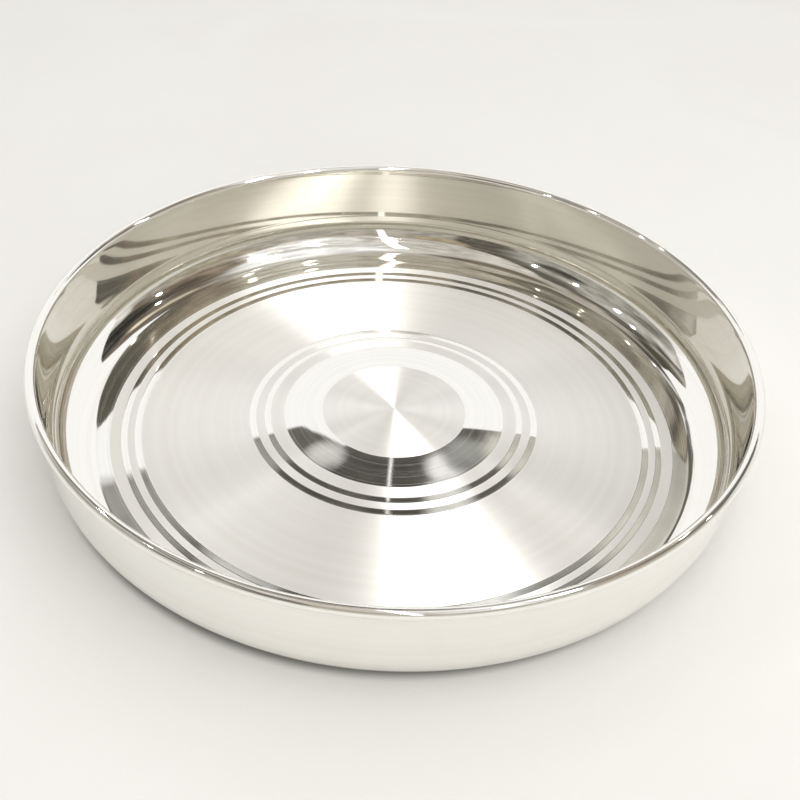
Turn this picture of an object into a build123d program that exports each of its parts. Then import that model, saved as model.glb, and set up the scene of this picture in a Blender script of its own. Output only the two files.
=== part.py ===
"""Thali plate: a spun silver dish with a low domed floor, a rounded cove, an upright wall and a wired edge.

Units are millimetres. +Z is up, and Z is the axis of the lathe. The origin is the middle of the resting face, so the
flat ring under the floor lies at Z = 0. Two pieces: the sheet, and the wire ring that its edge is rolled over.
"""

import os
from math import acos, atan, cos, degrees, radians, sin, tan

from build123d import *

os.makedirs("parts", exist_ok=True)

# Driving dimensions
plate_diameter = 300.0  # over the rolled edge
plate_height = 46.0  # resting face to the top of the rolled edge
sheet = 0.7  # thickness of the silver sheet
wire_diameter = 2.8  # stiffening wire inside the rolled edge
wire_clearance = 0.03  # all round, between the wire and the sheet
curl_gap = 0.12  # between the end of the rolled edge and the wall
wall_flare = 0.7  # degrees that the wall leans outwards
cove_radius = 17.8  # inside radius between the floor and the wall
dome_diameter = 222.0  # inside this circle the floor rises
dome_rise = 5.0  # middle of the floor above its flat outer ring

# Rolled edge: the wire, its clearance and one thickness of sheet
wire_radius = wire_diameter / 2
bead_bore = wire_radius + wire_clearance
bead_radius = bead_bore + sheet
bead_centre_r = plate_diameter / 2 - bead_radius
bead_centre_z = plate_height - bead_radius
curl_sweep = 360 - degrees(acos((bead_bore - curl_gap) / bead_radius))

# Floor dome: two equal arcs, crown up and then crown down, that meet half way out
dome_angle = 2 * atan(dome_rise / (dome_diameter / 2))
dome_arc = dome_diameter / 4 / sin(dome_angle)
dome_turn = degrees(dome_angle)

# The inside of the wall touches the rolled edge from within, and the cove touches the wall and the floor
flare = radians(wall_flare)
wall_top_r = bead_centre_r - bead_radius * cos(flare)
wall_top_z = bead_centre_z + bead_radius * sin(flare)
wall_foot_z = sheet + cove_radius * (1 - sin(flare))
wall_foot_r = wall_top_r - (wall_top_z - wall_foot_z) * tan(flare)
cove_start_r = wall_foot_r - cove_radius * cos(flare)

# The dish: one even sheet, drawn as its inside face and its outside face, and spun round Z
with BuildPart() as dish:
    with BuildSketch(Plane.XZ) as section:
        with BuildLine() as outline:
            # Inside face, from the middle of the floor outwards
            crown_in = JernArc((0, sheet + dome_rise), (1, 0), dome_arc, -dome_turn)
            skirt_in = JernArc(crown_in @ 1, crown_in % 1, dome_arc, dome_turn)
            floor_in = Line(skirt_in @ 1, (cove_start_r, sheet))
            cove_in = JernArc(floor_in @ 1, (1, 0), cove_radius, 90 - wall_flare)
            wall_in = Line(cove_in @ 1, (wall_top_r, wall_top_z))
            curl_in = JernArc(wall_in @ 1, wall_in % 1, bead_radius, -curl_sweep)
            # Outside face, one thickness away
            crown_out = JernArc((0, dome_rise), (1, 0), dome_arc - sheet, -dome_turn)
            skirt_out = JernArc(crown_out @ 1, crown_out % 1, dome_arc + sheet, dome_turn)
            floor_out = Line(skirt_out @ 1, (cove_start_r, 0))
            cove_out = JernArc(floor_out @ 1, (1, 0), cove_radius + sheet, 90 - wall_flare)
            wall_out = Line(cove_out @ 1, (wall_top_r + sheet * cos(flare), wall_top_z - sheet * sin(flare)))
            curl_out = JernArc(wall_out @ 1, wall_out % 1, bead_bore, -curl_sweep)
            # Across the thickness, at the axis and at the end of the curl
            Line(crown_in @ 0, crown_out @ 0)
            Line(curl_in @ 1, curl_out @ 1)
        make_face()
    revolve(axis=Axis.Z)
dish.part.label = "dish"
export_step(dish.part, "parts/dish.step")

# The wire: a plain round ring that lies inside the rolled edge
with BuildPart() as rim_wire:
    with BuildSketch(Plane.XZ) as wire_section:
        with Locations((bead_centre_r, bead_centre_z)):
            Circle(wire_radius)
    revolve(axis=Axis.Z)
rim_wire.part.label = "rim_wire"
export_step(rim_wire.part, "parts/rim_wire.step")

print("bead diameter", round(2 * bead_radius, 3), "cove starts at radius", round(cove_start_r, 3))
print("wall foot", round(wall_foot_r, 3), round(wall_foot_z, 3), "wall top", round(wall_top_r, 3), round(wall_top_z, 3))
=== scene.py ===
import math

import bpy
from mathutils import Matrix, Vector


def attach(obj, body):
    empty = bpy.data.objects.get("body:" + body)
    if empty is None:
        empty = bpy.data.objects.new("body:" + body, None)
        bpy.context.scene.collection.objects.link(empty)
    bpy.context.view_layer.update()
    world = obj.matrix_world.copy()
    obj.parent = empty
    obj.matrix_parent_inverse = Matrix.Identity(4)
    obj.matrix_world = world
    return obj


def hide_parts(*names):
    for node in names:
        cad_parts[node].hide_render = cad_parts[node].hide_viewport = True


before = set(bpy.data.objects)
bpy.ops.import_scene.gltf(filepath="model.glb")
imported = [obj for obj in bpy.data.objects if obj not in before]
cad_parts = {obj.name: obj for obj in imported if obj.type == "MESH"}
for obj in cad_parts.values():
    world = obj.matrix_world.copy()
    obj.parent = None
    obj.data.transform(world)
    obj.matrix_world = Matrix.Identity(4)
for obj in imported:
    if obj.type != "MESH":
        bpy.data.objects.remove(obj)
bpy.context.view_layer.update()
scene = bpy.context.scene
scene.view_settings.view_transform = "Standard"
print("frame loaded, nodes:", sorted(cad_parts))

studioWhite = (1.0, 0.99, 0.965)  # screen, board and lamps
backdrop = (0.85, 0.84, 0.805)  # what the camera sees far from the plate


def metres(millimetres):
    return millimetres / 1000


def wayTo(turn, height):  # seen from the plate: degrees round from +X, degrees up
    turn, height = math.radians(turn), math.radians(height)
    return Vector((math.cos(turn) * math.cos(height), math.sin(turn) * math.cos(height), math.sin(height)))


# node helpers: a socket is linked, and a plain value goes straight onto the input
def feed(tree, value, socket):
    if isinstance(value, bpy.types.NodeSocket):
        tree.links.new(value, socket)
    else:
        socket.default_value = value


def addNode(tree, kind, inputs=None, **settings):
    node = tree.nodes.new(kind)
    for name, value in settings.items():
        setattr(node, name, value)
    for name, value in (inputs or {}).items():
        feed(tree, value, node.inputs[name])
    return node


def mathNode(tree, operation, *values):
    return addNode(tree, "ShaderNodeMath", dict(enumerate(values)), operation=operation).outputs[0]


def noiseNode(tree, place, grain, dimensions="3D"):
    inputs = {**grain, "W" if dimensions == "1D" else "Vector": place}
    return addNode(tree, "ShaderNodeTexNoise", inputs, noise_dimensions=dimensions).outputs[0]


def rampNode(tree, value, fromMin, fromMax, toMin=0.0, toMax=1.0):
    limits = {"Value": value, "From Min": fromMin, "From Max": fromMax, "To Min": toMin, "To Max": toMax}
    return addNode(tree, "ShaderNodeMapRange", limits, interpolation_type="SMOOTHSTEP").outputs["Result"]


def rgba(colour):
    return (*colour, 1.0) if isinstance(colour, tuple) else colour


def mixColour(tree, factor, first, second, blend="MIX"):
    colours = {0: factor, 6: rgba(first), 7: rgba(second)}  # the Mix node's factor and its two colours
    return addNode(tree, "ShaderNodeMix", colours, data_type="RGBA", blend_type=blend).outputs[2]


def splitNode(tree, vector):
    return addNode(tree, "ShaderNodeSeparateXYZ", {0: vector}).outputs


def flatLength(tree, x, y):
    squares = mathNode(tree, "ADD", mathNode(tree, "POWER", x, 2.0), mathNode(tree, "POWER", y, 2.0))
    return mathNode(tree, "SQRT", squares)


def newGroup(name, inputs, outputs):
    tree = bpy.data.node_groups.new(name, "ShaderNodeTree")
    for label, value in inputs.items():
        tree.interface.new_socket(label, in_out="INPUT", socket_type="NodeSocketFloat").default_value = value
    for label in outputs:
        tree.interface.new_socket(label, in_out="OUTPUT", socket_type="NodeSocketFloat")
    return tree, tree.nodes.new("NodeGroupInput").outputs, tree.nodes.new("NodeGroupOutput").inputs


def placeGroup(tree, group, values):
    return addNode(tree, "ShaderNodeGroup", values, node_tree=group).outputs


def newMaterial(name):
    material = bpy.data.materials.new(name)
    material.use_nodes = True
    tree = material.node_tree
    tree.nodes.clear()
    return material, tree, addNode(tree, "ShaderNodeOutputMaterial").inputs["Surface"]


# lathe turning: fine rings left by the tool, and faint spokes where it chattered
turningGrain = {
    "fine": {"Scale": 1.0, "Detail": 3.0, "Roughness": 0.7},
    "broad": {"Scale": 0.11, "Detail": 2.0},
    "spoke": {"Scale": 0.16, "Detail": 2.0}, "spokeDrift": 25.0,
    "linesPerMm": 3.0, "spokes": 60.0,
}


def makeLatheTurning():
    tree, inlet, outlet = newGroup(
        "latheTurning",
        {"LinesPerMm": turningGrain["linesPerMm"], "Spokes": turningGrain["spokes"]},
        ["Fine", "Broad", "Spoke"],
    )
    x, y, z = splitNode(tree, addNode(tree, "ShaderNodeTexCoord").outputs["Object"])
    radius = flatLength(tree, x, y)
    along = mathNode(tree, "ADD", radius, z)  # also changes up the wall
    linesPerMetre = mathNode(tree, "MULTIPLY", inlet["LinesPerMm"], 1000.0)
    lines = mathNode(tree, "MULTIPLY", along, linesPerMetre)
    feed(tree, noiseNode(tree, lines, turningGrain["fine"], "1D"), outlet["Fine"])
    feed(tree, noiseNode(tree, lines, turningGrain["broad"], "1D"), outlet["Broad"])
    turn = mathNode(tree, "ARCTAN2", y, x)
    sideways = mathNode(tree, "MULTIPLY", turn, inlet["Spokes"])
    outwards = mathNode(tree, "MULTIPLY", radius, turningGrain["spokeDrift"])
    spread = addNode(tree, "ShaderNodeCombineXYZ", {0: sideways, 1: outwards}).outputs[0]
    feed(tree, noiseNode(tree, spread, turningGrain["spoke"], "2D"), outlet["Spoke"])
    return tree


# handling marks: wiped smears, short scratches and a slight wave in the sheet
marksGrain = {
    "smear": {"Detail": 4.0, "Roughness": 0.6, "Distortion": 0.8},
    "scratch": {"Detail": 2.0, "Roughness": 0.5}, "scratchFrom": 0.68, "scratchFull": 0.74,
    "scratchStretch": {"Scale": (1.0, 0.06, 1.0), "Rotation": (0.0, 0.0, 0.6)},
    "wave": {"Detail": 1.0},
    "smearScale": 18.0, "scratchScale": 90.0, "waveScale": 30.0,
}


def makeHandlingMarks():
    tree, inlet, outlet = newGroup(
        "handlingMarks",
        {"SmearScale": marksGrain["smearScale"], "ScratchScale": marksGrain["scratchScale"],
         "WaveScale": marksGrain["waveScale"]},
        ["Smear", "Scratch", "Wave"],
    )
    place = addNode(tree, "ShaderNodeTexCoord").outputs["Object"]
    smear = noiseNode(tree, place, {**marksGrain["smear"], "Scale": inlet["SmearScale"]})
    feed(tree, smear, outlet["Smear"])
    stretch = addNode(tree, "ShaderNodeMapping", {**marksGrain["scratchStretch"], "Vector": place})
    scratch = noiseNode(tree, stretch.outputs[0], {**marksGrain["scratch"], "Scale": inlet["ScratchScale"]})
    scratch = rampNode(tree, scratch, marksGrain["scratchFrom"], marksGrain["scratchFull"])
    feed(tree, scratch, outlet["Scratch"])
    feed(tree, noiseNode(tree, place, {**marksGrain["wave"], "Scale": inlet["WaveScale"]}), outlet["Wave"])
    return tree


latheTurning = makeLatheTurning()
handlingMarks = makeHandlingMarks()


# finishes of the sheet: turned satin, polished mirror, lacquered wall with painted shade in its colour, plain
# underside
satinLook = {
    "bright": (0.945, 0.937, 0.918), "deep": (0.915, 0.905, 0.882), "smearTint": (0.89, 0.877, 0.85),
    "smear": 0.25, "metal": 0.56, "anisotropy": 0.97, "lacquer": 0.0,
    "rough": 0.42, "roughSpread": 0.06, "hairRough": 0.0, "spokeRough": 0.03, "scratchRough": 0.0,
    "linesPerMm": 2.4, "spokes": 70.0, "smearScale": 14.0, "scratchScale": 90.0, "waveScale": 25.0,
    "lineHeight": 0.002, "broadHeight": 0.002, "waveHeight": 0.01,
}
mirrorLook = {
    "bright": (0.965, 0.957, 0.935), "deep": (0.945, 0.935, 0.908), "smearTint": (0.93, 0.915, 0.88),
    "smear": 0.3, "metal": 1.0, "anisotropy": 0.96, "lacquer": 0.0,
    "rough": 0.025, "roughSpread": 0.02, "hairRough": 0.3, "spokeRough": 0.0, "scratchRough": 0.05,
    "linesPerMm": 3.6, "spokes": 40.0, "smearScale": 30.0, "scratchScale": 160.0, "waveScale": 60.0,
    "lineHeight": 0.0012, "broadHeight": 0.003, "waveHeight": 0.03,
}
# painted shade: the wall's colours are set darker than the rest of the silver, for the dimmer reflections it
# shows
wallLook = {
    "bright": (0.585, 0.555, 0.475), "deep": (0.55, 0.52, 0.44), "smearTint": (0.515, 0.485, 0.40),
    "smear": 0.3, "metal": 0.8, "anisotropy": 0.85, "lacquer": 1.0,
    "rough": 0.035, "roughSpread": 0.02, "hairRough": 0.04, "spokeRough": 0.0, "scratchRough": 0.06,
    "linesPerMm": 3.0, "spokes": 40.0, "smearScale": 22.0, "scratchScale": 140.0, "waveScale": 40.0,
    "lineHeight": 0.0006, "broadHeight": 0.002, "waveHeight": 0.04,
}
outerLook = dict(
    wallLook, metal=1.0, lacquer=0.0,
    bright=(0.955, 0.945, 0.92), deep=(0.93, 0.918, 0.888), smearTint=(0.88, 0.865, 0.82),
)
rimLook = dict(outerLook, metal=0.9, rough=0.06, waveScale=150.0, waveHeight=0.03)
coveLook = dict(
    outerLook, anisotropy=0.96, hairRough=0.25,
    bright=(0.965, 0.955, 0.93), deep=(0.945, 0.932, 0.90), smearTint=(0.9, 0.88, 0.83),
)
underLook = {
    "bright": (0.88, 0.87, 0.84), "deep": (0.83, 0.815, 0.78), "smearTint": (0.79, 0.77, 0.72),
    "smear": 0.4, "metal": 1.0, "anisotropy": 0.8, "lacquer": 0.0,
    "rough": 0.34, "roughSpread": 0.08, "hairRough": 0.05, "spokeRough": 0.04, "scratchRough": 0.08,
    "linesPerMm": 1.2, "spokes": 50.0, "smearScale": 16.0, "scratchScale": 110.0, "waveScale": 25.0,
    "lineHeight": 0.003, "broadHeight": 0.005, "waveHeight": 0.02,
}
silver = {
    "across": 0.25,  # a quarter turn: the gloss spreads across the turned lines
    "broadFrom": 0.3, "broadFull": 0.7, "smearFrom": 0.5, "smearFull": 0.8,
    "hairFrom": 0.63, "hairFull": 0.70,  # only the strongest lines are rough
    "bumpUnit": 1.0,  # heights are in mm
    "lacquerIor": 1.85, "lacquerRough": 0.03,
}


def makeSilver(name, look):
    material, tree, surface = newMaterial(name)
    turning = placeGroup(tree, latheTurning, {"LinesPerMm": look["linesPerMm"], "Spokes": look["spokes"]})
    marks = placeGroup(tree, handlingMarks, {
        "SmearScale": look["smearScale"], "ScratchScale": look["scratchScale"],
        "WaveScale": look["waveScale"],
    })
    broad = rampNode(tree, turning["Broad"], silver["broadFrom"], silver["broadFull"])
    smear = rampNode(tree, marks["Smear"], silver["smearFrom"], silver["smearFull"], 0.0, look["smear"])
    hair = rampNode(tree, turning["Fine"], silver["hairFrom"], silver["hairFull"])
    colour = mixColour(tree, smear, mixColour(tree, broad, look["deep"], look["bright"]), look["smearTint"])
    rough = look["rough"] - 0.5 * look["roughSpread"]
    for mask, share in ((turning["Fine"], look["roughSpread"]), (hair, look["hairRough"]),
                        (marks["Scratch"], look["scratchRough"]), (turning["Spoke"], look["spokeRough"])):
        rough = mathNode(tree, "MULTIPLY_ADD", mask, share, rough)
    height = 0.0
    for mask, share in ((turning["Fine"], look["lineHeight"]), (turning["Broad"], look["broadHeight"]),
                        (marks["Wave"], look["waveHeight"])):
        height = mathNode(tree, "MULTIPLY_ADD", mask, share, height)
    bump = addNode(tree, "ShaderNodeBump", {
        "Strength": 1.0, "Distance": metres(silver["bumpUnit"]), "Height": height,
    })
    tangent = addNode(tree, "ShaderNodeTangent", direction_type="RADIAL", axis="Z")
    shader = addNode(tree, "ShaderNodeBsdfPrincipled", {
        "Base Color": colour, "Roughness": rough, "Normal": bump.outputs[0],
        "Metallic": look["metal"], "Anisotropic": look["anisotropy"],
        "Anisotropic Rotation": silver["across"], "Tangent": tangent.outputs[0],
        "Coat Weight": look["lacquer"], "Coat IOR": silver["lacquerIor"],
        "Coat Roughness": silver["lacquerRough"],
    })
    feed(tree, shader.outputs[0], surface)
    return material


looks = {
    "satin": satinLook, "mirror": mirrorLook, "cove": coveLook, "wall": wallLook,
    "rim": rimLook, "outer": outerLook, "under": underLook,
}
finishes = {zone: makeSilver(zone + "Silver", look) for zone, look in looks.items()}
print("silver finishes made:", list(finishes))


# round shapes: a section of (radius, height) points in mm, turned round Z into a mesh in metres
def arcPoints(centre, radius, start, sweep, steps, first=1):
    angles = [start + sweep * i / steps for i in range(first, steps + 1)]
    return [(centre[0] + radius * math.cos(a), centre[1] + radius * math.sin(a)) for a in angles]


def linePoints(start, end, steps):
    return [tuple(p + (q - p) * i / steps for p, q in zip(start, end)) for i in range(1, steps + 1)]


def spinSection(name, points, turns):
    verts, faces, rows = [], [], []
    for r, z in points:
        angles = [2 * math.pi * k / turns for k in range(turns)] if r else [0.0]  # one point on the axis
        rows.append(range(len(verts), len(verts) + len(angles)))
        verts += [(metres(r * math.cos(a)), metres(r * math.sin(a)), metres(z)) for a in angles]
    for row, after in zip(rows, rows[1:]):
        for k in range(turns):
            n = (k + 1) % turns
            if len(row) == 1:
                faces.append((row[0], after[k], after[n]))
            elif len(after) == 1:
                faces.append((row[k], after[0], row[n]))
            else:
                faces.append((row[k], after[k], after[n], row[n]))
    mesh = bpy.data.meshes.new(name)
    mesh.from_pydata(verts, [], faces)
    mesh.polygons.foreach_set("use_smooth", [True] * len(faces))
    return mesh


# the dish: one spun sheet, sizes in mm
dish = {
    "radius": 150.0, "height": 46.0, "sheet": 0.7, "wireRadius": 1.4, "wireClearance": 0.03, "curlGap": 0.12,
    "flare": 0.7, "cove": 17.8, "domeRadius": 111.0, "domeRise": 5.0,
    "rings": [31.25, 48.0, 53.75, 56.4, 60.1, 62.95, 108.85, 111.65, 114.65, 117.25, 121.95],  # satin first
    "ringStep": 0.02,  # the turned satin lies a hair below the polish
    "ringEdge": 0.12, "ringSides": (-2.5, -1.0, 0.0, 1.0, 2.5), "ringRoom": 0.45, "justPast": 1e-6,
    "turns": 360, "floorStep": 1.5, "coveSteps": 48, "wallSteps": 12, "curlSteps": 40,
    "footSteps": 36, "underSteps": 60,
    "wallFrom": 35, "underFrom": 30,  # steps of the cove, inside and outside, where the finish changes
}


def dishSection():
    sheet, cove = dish["sheet"], dish["cove"]
    bore = dish["wireRadius"] + dish["wireClearance"]
    bead = bore + sheet
    beadR, beadZ = dish["radius"] - bead, dish["height"] - bead
    flare = math.radians(dish["flare"])
    domeAngle = 2 * math.atan(dish["domeRise"] / dish["domeRadius"])
    domeArc = dish["domeRadius"] / 2 / math.sin(domeAngle)
    topR, topZ = beadR - bead * math.cos(flare), beadZ + bead * math.sin(flare)
    footZ = sheet + cove * (1 - math.sin(flare))
    footR = topR - (topZ - footZ) * math.tan(flare)
    coveR = footR - cove * math.cos(flare)
    coveSweep = math.pi / 2 - flare
    curl = 2 * math.pi - math.acos((bore - dish["curlGap"]) / bead)
    section = []  # radius, height, and the finish of the stretch that follows

    def floorHeight(r):  # two equal arcs, crown up and then crown down
        if r < dish["domeRadius"] / 2:
            return dish["domeRise"] - (domeArc - math.sqrt(domeArc ** 2 - r ** 2))
        if r < dish["domeRadius"]:
            return domeArc - math.sqrt(domeArc ** 2 - (dish["domeRadius"] - r) ** 2)
        return 0.0

    def ringZone(r):
        return "mirror" if sum(r > edge for edge in dish["rings"]) % 2 else "satin"

    def extend(points, zone, laterZone=None, laterFrom=0):
        for i, point in enumerate(points, 1):
            section.append((*point, laterZone if laterZone and i >= laterFrom else zone))

    steps = int(coveR / dish["floorStep"])
    stops = {coveR * i / steps for i in range(steps)} | {coveR}
    for edge in dish["rings"]:
        stops = {stop for stop in stops if abs(stop - edge) > dish["ringRoom"]}
        stops.update(edge + side * dish["ringEdge"] for side in dish["ringSides"])
    for r in sorted(stops):
        zone = ringZone(r + dish["justPast"])
        depth = dish["ringStep"] if zone == "satin" else 0.0
        if r in dish["rings"]:
            depth = 0.5 * dish["ringStep"]
        section.append((r, sheet + floorHeight(r) - depth, zone))
    section[-1] = (coveR, sheet, "cove")
    coveIn = arcPoints((coveR, sheet + cove), cove, -math.pi / 2, coveSweep, dish["coveSteps"])
    extend(coveIn, "cove", "wall", dish["wallFrom"])
    extend(linePoints((footR, footZ), (topR, topZ), dish["wallSteps"]), "wall")
    curlStart = math.pi - flare  # over the wire, and back on the inside of the curl
    extend(arcPoints((beadR, beadZ), bead, curlStart, -curl, dish["curlSteps"]), "rim")
    extend(arcPoints((beadR, beadZ), bore, curlStart - curl, curl, dish["curlSteps"], 0), "outer")
    outTop = (topR + sheet * math.cos(flare), topZ - sheet * math.sin(flare))
    outFoot = (footR + sheet * math.cos(flare), footZ - sheet * math.sin(flare))
    extend(linePoints(outTop, outFoot, dish["wallSteps"]), "outer")
    outer = cove + sheet
    coveOut = arcPoints((coveR, outer), outer, -flare, -coveSweep, dish["footSteps"])
    extend(coveOut, "outer", "under", dish["underFrom"])
    for i in range(1, dish["underSteps"] + 1):  # resting ring and the hollow under the dome
        r = coveR * (1 - i / dish["underSteps"])
        section.append((r, floorHeight(r), "under"))
    return section


def spinDish():
    section = dishSection()
    mesh = spinSection("thaliDish", [(r, z) for r, z, zone in section], dish["turns"])
    for material in finishes.values():
        mesh.materials.append(material)
    order = list(finishes)
    zones = [order.index(zone) for r, z, zone in section[:-1] for k in range(dish["turns"])]
    mesh.polygons.foreach_set("material_index", zones)
    mesh.update()
    piece = bpy.data.objects.new("thaliDish", mesh)
    scene.collection.objects.link(piece)
    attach(piece, "root")
    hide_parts("dish")
    return piece


thaliDish = spinDish()
print("dish spun:", len(thaliDish.data.vertices), "points")


# the wire inside the rolled edge stays the solid's own shape, with a drawn finish
wireLook = dict(underLook, rough=0.22, linesPerMm=6.0, bright=(0.86, 0.85, 0.82), deep=(0.8, 0.785, 0.75))
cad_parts["rim_wire"].data.materials.clear()
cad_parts["rim_wire"].data.materials.append(makeSilver("drawnWire", wireLook))
print("rim wire finished")


# cloth under the plate, in mm: pale, with soft folds, a swell round the foot, painted shade in the crease
# round the foot, and a fade into the backdrop
cloth = {
    "colour": (0.862, 0.861, 0.845), "shade": (0.81, 0.807, 0.785), "rough": 0.9, "gloss": 0.1, "below": 0.2,
    "folds": {"Scale": 5.0, "Detail": 2.0, "Distortion": 1.2}, "foldFrom": 0.3, "foldFull": 0.75,
    "foldShade": 0.5, "foldHeight": 1.2, "foldStrength": 0.6,
    "weave": {"Scale": 900.0, "Detail": 2.0}, "weaveShare": 0.06,
    "pressedTo": 127.6, "touchesTo": 137.0, "flatFrom": 172.0, "gap": 0.25,  # round the foot
    "creaseShade": 0.34, "creaseFrom": 137.6, "creaseTo": 143.0, "creaseAside": 1.8,  # painted shade in the crease round the foot, more on the left
    "fadeFrom": 800.0, "fadeTo": 1700.0,
    "nearRings": [0.0, 60.0, 110.0], "footRings": 38, "footRingStep": 1.2,
    "farRings": [190.0, 260.0, 500.0, 1500.0, 6000.0], "turns": 240,
}


def clothHeight(r):
    if r <= cloth["pressedTo"]:
        return 0.0
    footArc = dish["cove"] + dish["sheet"]
    reach = min(r, cloth["touchesTo"]) - cloth["pressedTo"]
    plate = footArc - math.sqrt(footArc ** 2 - reach ** 2)
    swell = max(plate - cloth["gap"], 0.0)
    away = (r - cloth["touchesTo"]) / (cloth["flatFrom"] - cloth["touchesTo"])
    away = min(max(away, 0.0), 1.0)
    return swell * (1.0 - away) ** 2 * (1.0 + 2.0 * away)  # a smooth run down to flat


def makeClothMaterial():
    material, tree, surface = newMaterial("paleCloth")
    place = addNode(tree, "ShaderNodeTexCoord").outputs["Object"]
    folds = noiseNode(tree, place, cloth["folds"])
    weave = noiseNode(tree, place, cloth["weave"])
    shade = rampNode(tree, folds, cloth["foldFrom"], cloth["foldFull"], 0.0, cloth["foldShade"])
    tone = mixColour(tree, shade, cloth["colour"], cloth["shade"])
    # painted shade: the cloth colour darkens to the creaseShade share near the foot, off centre to the left
    creaseMiddle = (-metres(cloth["creaseAside"]), 0.0, 0.0)
    out = addNode(tree, "ShaderNodeVectorMath", {0: place, 1: creaseMiddle}, operation="DISTANCE")
    creaseEnds = (metres(cloth["creaseFrom"]), metres(cloth["creaseTo"]))
    paintedShadeFactor = rampNode(tree, out.outputs["Value"], *creaseEnds, cloth["creaseShade"], 1.0)
    colour = addNode(tree, "ShaderNodeVectorMath", {0: tone, "Scale": paintedShadeFactor}, operation="SCALE")
    height = mathNode(tree, "MULTIPLY_ADD", weave, cloth["weaveShare"], folds)
    bump = addNode(tree, "ShaderNodeBump", {
        "Strength": cloth["foldStrength"], "Distance": metres(cloth["foldHeight"]), "Height": height,
    })
    shader = addNode(tree, "ShaderNodeBsdfPrincipled", {
        "Base Color": colour.outputs[0], "Normal": bump.outputs[0],
        "Roughness": cloth["rough"], "Specular IOR Level": cloth["gloss"],
    })
    away = addNode(tree, "ShaderNodeVectorMath", {0: place}, operation="LENGTH").outputs["Value"]
    fade = rampNode(tree, away, metres(cloth["fadeFrom"]), metres(cloth["fadeTo"]))
    seen = addNode(tree, "ShaderNodeLightPath").outputs["Is Camera Ray"]
    even = addNode(tree, "ShaderNodeEmission", {"Color": rgba(backdrop), "Strength": 1.0})
    blend = addNode(tree, "ShaderNodeMixShader", {
        0: mathNode(tree, "MULTIPLY", fade, seen), 1: shader.outputs[0], 2: even.outputs[0],
    })
    feed(tree, blend.outputs[0], surface)
    return material


def layCloth():
    footRings = [cloth["pressedTo"] + cloth["footRingStep"] * i for i in range(cloth["footRings"])]
    radii = cloth["nearRings"] + footRings + cloth["farRings"]
    mesh = spinSection("clothFloor", [(r, clothHeight(r)) for r in radii], cloth["turns"])
    mesh.materials.append(makeClothMaterial())
    floor = bpy.data.objects.new("clothFloor", mesh)
    floor.location.z = -metres(cloth["below"])
    scene.collection.objects.link(floor)


layCloth()
print("cloth laid")


# the studio that the polished silver shows: a white screen behind, and a dim room above its edge
studio = {
    "screen": studioWhite, "low": (0.67, 0.65, 0.59), "room": (0.40, 0.37, 0.315),
    "screenTurn": 96.0, "screenLow": -0.11, "screenRise": 1.07, "edgeSoft": 0.007,
    "top": 0.863, "topSlope": 0.154, "lowEdge": 0.29,
    "lowTurn": 94.0, "lowFrom": 0.1, "lowFull": 0.6, "leastLevel": 0.01,
    "shadeShare": 0.48,  # soft shade comes mostly from the lamps
    "broad": {"Scale": 3.2, "Detail": 2.0, "Roughness": 0.55}, "broadShare": 0.35,
    "small": {"Scale": 11.0, "Detail": 3.0, "Roughness": 0.6}, "smallShare": 0.65,
    "mottleFrom": 0.38, "mottleFull": 0.62, "mottleLow": 0.72, "mottleHigh": 1.25,
    "patches": [  # in degrees: turn, height, where it fades out and where it is full; then its colour
        (196.0, 18.0, 53.0, 50.0, (0.11, 0.10, 0.08)),  # left of the plate, a dark arch, lighter inside
        (192.0, 14.0, 46.0, 35.0, (0.36, 0.345, 0.30)),
        (258.0, 45.0, 12.0, 6.0, (0.45, 0.38, 0.26)),
        (207.0, 38.0, 10.0, 5.0, (0.085, 0.08, 0.065)),
        (241.0, 24.0, 13.0, 6.0, (0.11, 0.10, 0.08)),
        (170.0, 29.0, 9.0, 4.0, (0.20, 0.195, 0.17)),
        (165.0, 49.0, 14.0, 6.0, (0.50, 0.485, 0.43)),
        (152.0, 33.0, 9.0, 4.0, (0.62, 0.60, 0.56)),
        (155.0, 60.5, 6.0, 3.0, (0.14, 0.125, 0.10)),
        (142.0, 54.5, 7.0, 3.5, (0.11, 0.10, 0.08)),
        (126.0, 47.5, 9.0, 5.0, (0.075, 0.068, 0.05)),
        (305.0, 75.0, 34.5, 32.0, (0.58, 0.54, 0.485)),  # ceiling, brighter on the right
        (127.0, 74.5, 9.0, 4.5, (0.17, 0.14, 0.105)),
        (340.0, 64.0, 26.0, 15.0, (0.66, 0.64, 0.60)),
        (310.0, 51.0, 16.0, 8.0, (0.86, 0.85, 0.81)),
        (10.0, 75.0, 17.0, 9.0, (0.95, 0.94, 0.915)),
        (345.0, 28.0, 18.0, 9.0, (0.42, 0.37, 0.28)),  # right of the plate, brown to black, one pale strip
        (30.0, 42.0, 27.0, 18.0, (0.20, 0.16, 0.122)),
        (0.0, 48.0, 16.0, 8.0, (0.27, 0.215, 0.16)),
        (68.0, 53.0, 11.0, 6.0, (0.17, 0.135, 0.105)),
        (16.0, 48.0, 11.0, 5.0, (0.10, 0.083, 0.065)),
        (31.0, 36.0, 14.0, 7.0, (0.042, 0.04, 0.03)),
        (25.0, 19.0, 10.0, 6.5, (0.66, 0.64, 0.58)),
        (49.0, 38.0, 9.0, 4.0, (0.05, 0.05, 0.04)),
        (50.0, 50.0, 4.6, 1.6, (0.78, 0.70, 0.53)),
        (50.0, 56.5, 4.6, 1.6, (0.78, 0.70, 0.53)),
        (92.0, 50.0, 16.0, 13.0, (0.105, 0.10, 0.085)),  # straight behind, what the inner mirror rings show
        (100.7, 47.2, 2.8, 0.8, (0.58, 0.57, 0.54)),
        (81.4, 48.2, 3.0, 0.8, (0.88, 0.87, 0.84)),
        (79.0, 45.5, 3.6, 1.4, (0.28, 0.28, 0.26)),
        (80.0, 52.5, 3.4, 1.2, (0.62, 0.61, 0.58)),
        (72.5, 42.5, 4.5, 2.2, (0.55, 0.53, 0.47)),
        (108.5, 45.0, 3.5, 1.5, (0.28, 0.275, 0.25)),
    ],
}


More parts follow.
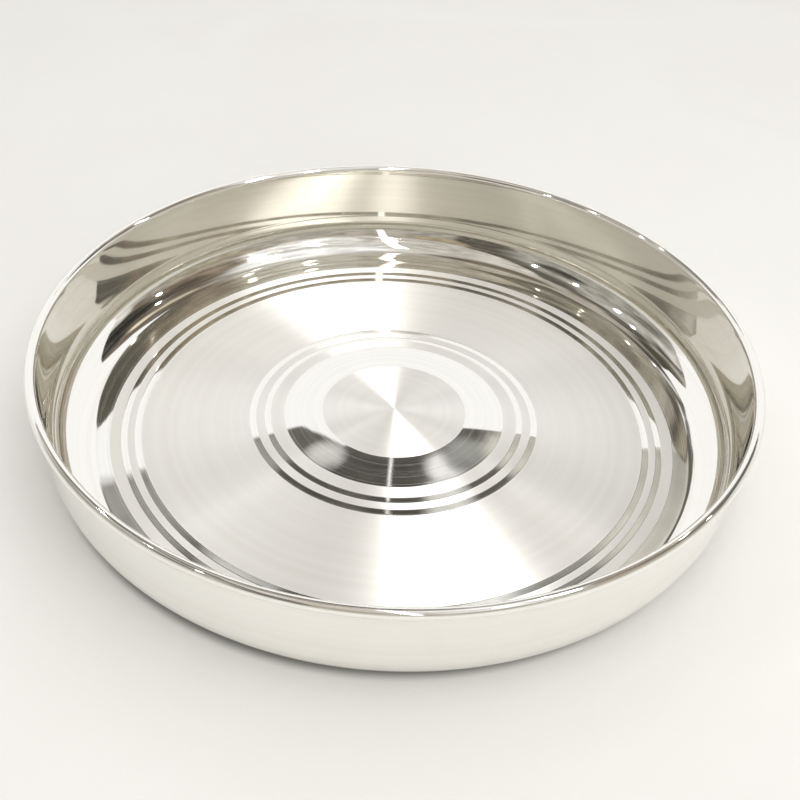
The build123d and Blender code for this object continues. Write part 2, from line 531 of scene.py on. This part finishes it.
def makeStudio():
    world = bpy.data.worlds.new("studio")
    scene.world = world
    world.use_nodes = True
    tree = world.node_tree
    tree.nodes.clear()
    way = addNode(tree, "ShaderNodeTexCoord").outputs["Generated"]
    x, y, z = splitNode(tree, way)
    level = flatLength(tree, x, y)

    def facing(turn):  # how far a direction points towards this turn
        turn = math.radians(turn)
        return mathNode(tree, "ADD", mathNode(tree, "MULTIPLY", x, math.cos(turn)),
                        mathNode(tree, "MULTIPLY", y, math.sin(turn)))

    def ofLevel(share):
        return mathNode(tree, "MULTIPLY", level, share)

    # the screen's upper edge: it rises behind the plate, and has a sloping top
    behind = mathNode(tree, "MAXIMUM", facing(studio["screenTurn"]), 0.0)
    edge = mathNode(tree, "MULTIPLY_ADD", behind, studio["screenRise"], ofLevel(studio["screenLow"]))
    top = mathNode(tree, "MULTIPLY_ADD", x, -studio["topSlope"], ofLevel(studio["top"]))
    edge = mathNode(tree, "MAXIMUM", mathNode(tree, "MINIMUM", edge, top), ofLevel(studio["lowEdge"]))
    above = rampNode(tree, mathNode(tree, "SUBTRACT", z, edge), -studio["edgeSoft"], studio["edgeSoft"])

    # the room: soft patches, then a mottle over them
    room = studio["room"]
    for turn, height, fade, full, colour in studio["patches"]:
        ways = {0: way, 1: wayTo(turn, height)}
        aim = addNode(tree, "ShaderNodeVectorMath", ways, operation="DOT_PRODUCT")
        fade, full = math.cos(math.radians(fade)), math.cos(math.radians(full))
        near = rampNode(tree, aim.outputs["Value"], fade, full)
        room = mixColour(tree, near, room, colour)
    broad = mathNode(tree, "MULTIPLY", noiseNode(tree, way, studio["broad"]), studio["broadShare"])
    small = noiseNode(tree, way, studio["small"])
    mottle = mathNode(tree, "MULTIPLY_ADD", small, studio["smallShare"], broad)
    mottle = rampNode(tree, mottle, studio["mottleFrom"], studio["mottleFull"],
                      studio["mottleLow"], studio["mottleHigh"])
    room = mixColour(tree, 1.0, room, mottle, "MULTIPLY")

    # the screen is dimmer where it comes round to the front
    share = mathNode(tree, "DIVIDE", facing(studio["lowTurn"]),
                     mathNode(tree, "MAXIMUM", level, studio["leastLevel"]))
    share = rampNode(tree, share, studio["lowFrom"], studio["lowFull"])
    screen = mixColour(tree, share, studio["low"], studio["screen"])
    colour = mixColour(tree, above, screen, room)
    ray = addNode(tree, "ShaderNodeLightPath").outputs
    background = addNode(tree, "ShaderNodeBackground", {
        "Color": mixColour(tree, ray["Is Camera Ray"], colour, backdrop),
        "Strength": mathNode(tree, "MULTIPLY_ADD", ray["Is Diffuse Ray"], studio["shadeShare"] - 1.0, 1.0),
    })
    addNode(tree, "ShaderNodeOutputWorld", {"Surface": background.outputs[0]})


makeStudio()
print("studio set")


# white board that stands close behind the plate: only the gloss shows it; metres, across and up
board = {
    "colour": studioWhite, "behind": 0.35,
    "edge": [(-0.6, 0.05), (0.6, 0.05), (0.6, 0.25), (0.45, 0.285), (0.12, 0.318), (0.06, 0.33),
             (0.0, 0.385), (-0.07, 0.395), (-0.125, 0.34), (-0.6, 0.33)],
}


def setBoard():
    material, tree, surface = newMaterial("boardWhite")
    glow = addNode(tree, "ShaderNodeEmission", {"Color": rgba(board["colour"]), "Strength": 1.0})
    feed(tree, glow.outputs[0], surface)
    mesh = bpy.data.meshes.new("whiteBoard")
    verts = [(x, board["behind"], z) for x, z in board["edge"]]
    mesh.from_pydata(verts, [], [tuple(range(len(verts)))])
    mesh.materials.append(material)
    item = bpy.data.objects.new("whiteBoard", mesh)
    item.visible_camera = item.visible_diffuse = item.visible_shadow = item.visible_transmission = False
    scene.collection.objects.link(item)


setBoard()
print("white board set")


# lamps: turn and height in degrees, metres away, width and length in metres, watts
shadeLamps = {  # light the matt surfaces, and no gloss shows them
    "overSoft": (40.0, 83.0, 1.7, (3.0, 3.0), 37.0),
    "frontSoft": (290.0, 35.0, 1.9, (2.4, 1.4), 15.0),
}
glossLamps = {  # only the gloss shows these
    "bandTube": (90.5, 51.0, 1.6, (0.009, 0.3), 0.009),
    "frontTube": (279.5, 57.0, 1.5, (0.06, 1.9), 0.7),
    "roofSpot": (278.0, 62.0, 1.5, (0.045, 0.5), 6.7),
    "roofSpotNear": (318.0, 62.0, 1.5, (0.045, 0.12), 6.7),
    "roofSpotRight": (350.0, 61.0, 1.5, (0.05, 0.05), 5.6),
    "roofSpotFar": (5.0, 69.0, 1.5, (0.04, 0.04), 3.5),
    "rightSpot": (16.0, 37.5, 1.6, (0.04, 0.05), 0.5),
    "rightSpotHigh": (36.0, 50.0, 1.6, (0.03, 0.03), 0.55),
    "leftSpot": (165.0, 49.0, 1.7, (0.03, 0.04), 0.7),
    "leftSpotNear": (188.0, 51.0, 1.7, (0.03, 0.03), 0.8),
    "leftSpotBack": (146.0, 52.0, 1.7, (0.03, 0.03), 0.5),
    "farLeftSpot": (210.0, 51.0, 1.7, (0.03, 0.04), 0.8),
}


def hangLamps(lamps, forGloss):
    for name, (turn, height, away, size, watts) in lamps.items():
        light = bpy.data.lights.new(name, "AREA")
        light.shape = "RECTANGLE"
        light.size, light.size_y = size
        light.energy = watts
        light.color = studioWhite
        way = wayTo(turn, height)
        item = bpy.data.objects.new(name, light)
        item.location = way * away
        item.rotation_mode = "QUATERNION"
        item.rotation_quaternion = (-way).to_track_quat("-Z", "Y")
        item.visible_glossy = forGloss
        item.visible_diffuse = not forGloss
        scene.collection.objects.link(item)


hangLamps(shadeLamps, forGloss=False)
hangLamps(glossLamps, forGloss=True)
print("lamps hung:", len(shadeLamps) + len(glossLamps))


# camera, from the photograph's rings and rim; metres, degrees, and millimetres for the lens
camera = {
    "place": (0.00253, -0.38041, 0.31912), "down": 39.045, "turn": 0.025, "roll": 3.73,
    "lens": 50.62, "sensor": 36.0, "nearClip": 0.01,
}


def setCamera():
    data = bpy.data.cameras.new("photoCamera")
    data.lens = camera["lens"]
    data.sensor_width = camera["sensor"]
    data.clip_start = camera["nearClip"]
    item = bpy.data.objects.new("photoCamera", data)
    tilt = Matrix.Rotation(math.radians(90.0 - camera["down"]), 4, "X")
    turn = Matrix.Rotation(math.radians(camera["turn"]), 4, "Y")
    roll = Matrix.Rotation(math.radians(camera["roll"]), 4, "Z")
    item.matrix_world = Matrix.Translation(camera["place"]) @ tilt @ turn @ roll
    scene.collection.objects.link(item)
    scene.camera = item


setCamera()
print("camera set")

bpy.context.view_layer.update()
